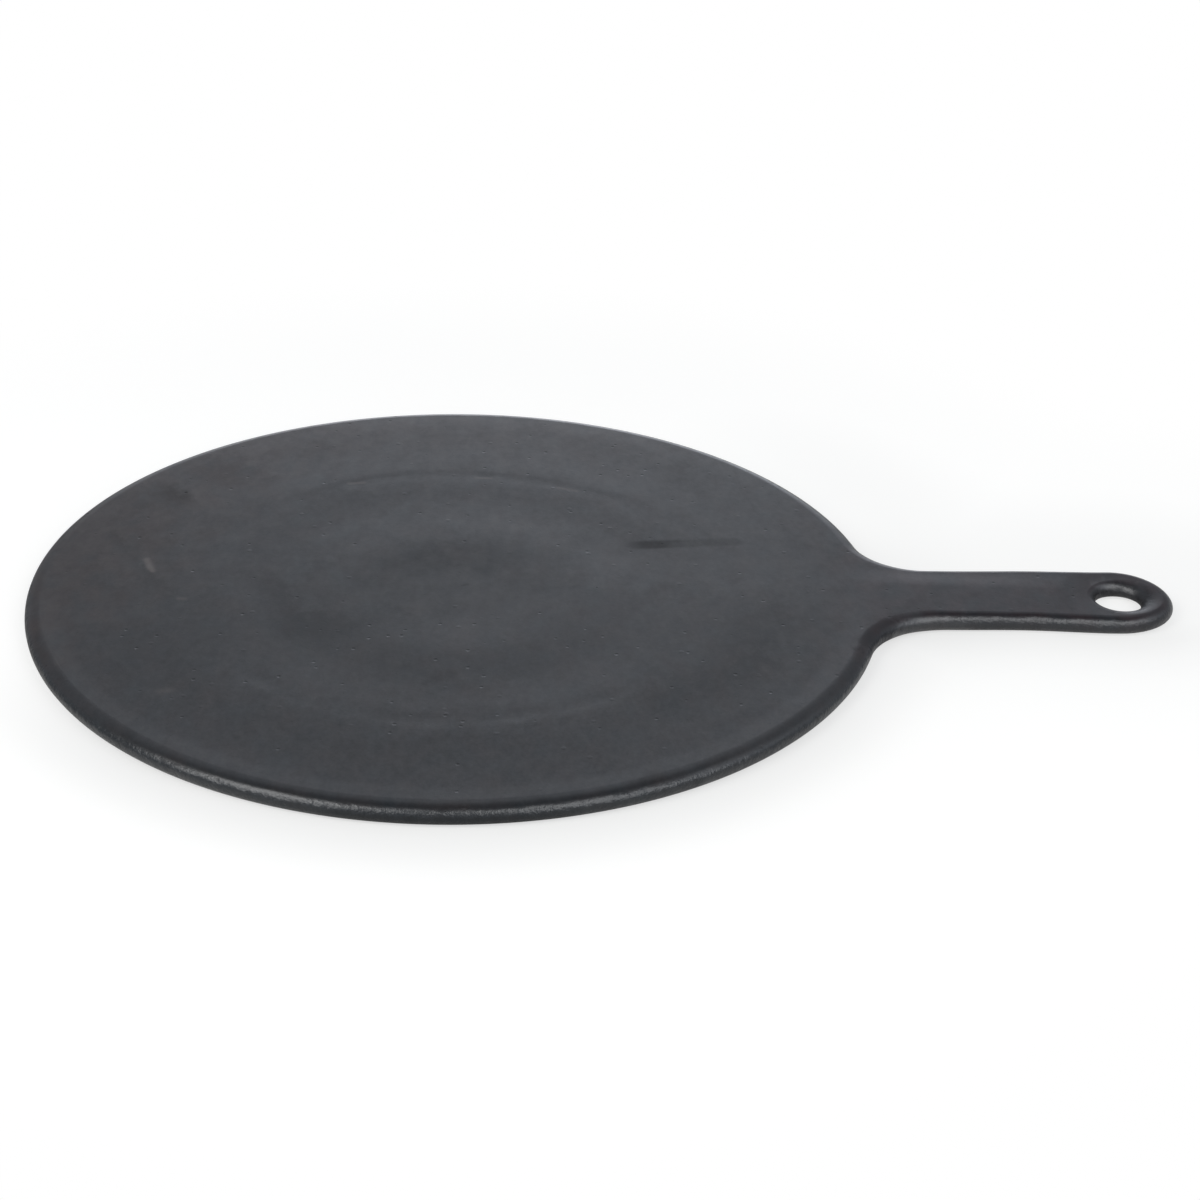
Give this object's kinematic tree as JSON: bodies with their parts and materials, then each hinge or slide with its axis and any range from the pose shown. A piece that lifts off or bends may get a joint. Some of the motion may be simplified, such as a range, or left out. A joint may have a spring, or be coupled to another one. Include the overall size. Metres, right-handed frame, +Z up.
{
  "type": "round clay griddle",
  "caption": "Flat round griddle of burnished black clay with full-round edges and a flat strap handle pierced for hanging.",
  "frame": {"origin": "centre of the plate's flat underside, which the griddle rests on", "axes": "+X from the plate's centre along the handle to its tip, +Y to the left of the handle as the cook holds it, +Z up out of the cooking face"},
  "size_m": [0.4122, 0.305, 0.0075],
  "materials": {
    "black_clay": "satin"
  },
  "bodies": {
    "root": {"griddle_plate": "black_clay", "handle": "black_clay"}
  },
  "joints": []
}
